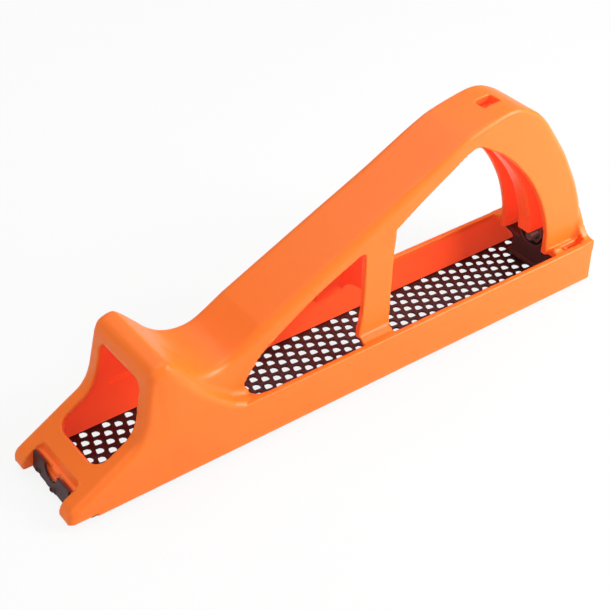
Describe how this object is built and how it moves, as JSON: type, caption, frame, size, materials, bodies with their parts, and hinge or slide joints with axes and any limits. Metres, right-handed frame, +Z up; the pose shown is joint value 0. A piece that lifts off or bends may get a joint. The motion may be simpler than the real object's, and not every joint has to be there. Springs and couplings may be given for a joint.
{
  "type": "rasp plane",
  "caption": "Hand rasp plane: a moulded plastic body with a front knob and a raised grip holds a perforated steel rasp blade, tensioned by a bracket and a screw in the heel.",
  "frame": {"origin": "centre of the bounding box at its base, on the plane of the tooth tips", "axes": "+X along the blade towards the heel, +Y across the blade, +Z up through the grip"},
  "size_m": [0.258, 0.044, 0.0965],
  "materials": {
    "orange_plastic": "satin moulded plastic",
    "blade_steel": "dark hardened sheet steel",
    "bracket_steel": "black-brown coated steel",
    "fastener_steel": "dark plated steel"
  },
  "bodies": {
    "frame": {"body": "orange_plastic", "screw_washer": "fastener_steel"},
    "blade": {"rasp_blade": "blade_steel"},
    "tensioner": {"tension_bracket": "bracket_steel", "tension_nut": "fastener_steel"},
    "screw": {"tension_screw": "fastener_steel"}
  },
  "joints": [
    {"name": "screw_spin", "type": "hinge", "parent": "frame", "child": "screw", "pos_m": [0.129, 0, 0.0184], "axis": [1, 0, 0], "range_deg": [0, 1500]},
    {"name": "bracket_slide", "type": "slide", "parent": "frame", "child": "tensioner", "axis": [1, 0, 0], "range_m": [-0.0032, 0]},
    {"name": "blade_swing", "type": "hinge", "parent": "frame", "child": "blade", "pos_m": [-0.1219, 0, 0.0097], "axis": [0, 1, 0], "range_deg": [0, 28]}
  ],
  "couplings": [
    {"joint": "screw_spin", "follows": "bracket_slide", "rad_per_m": -7854}
  ]
}
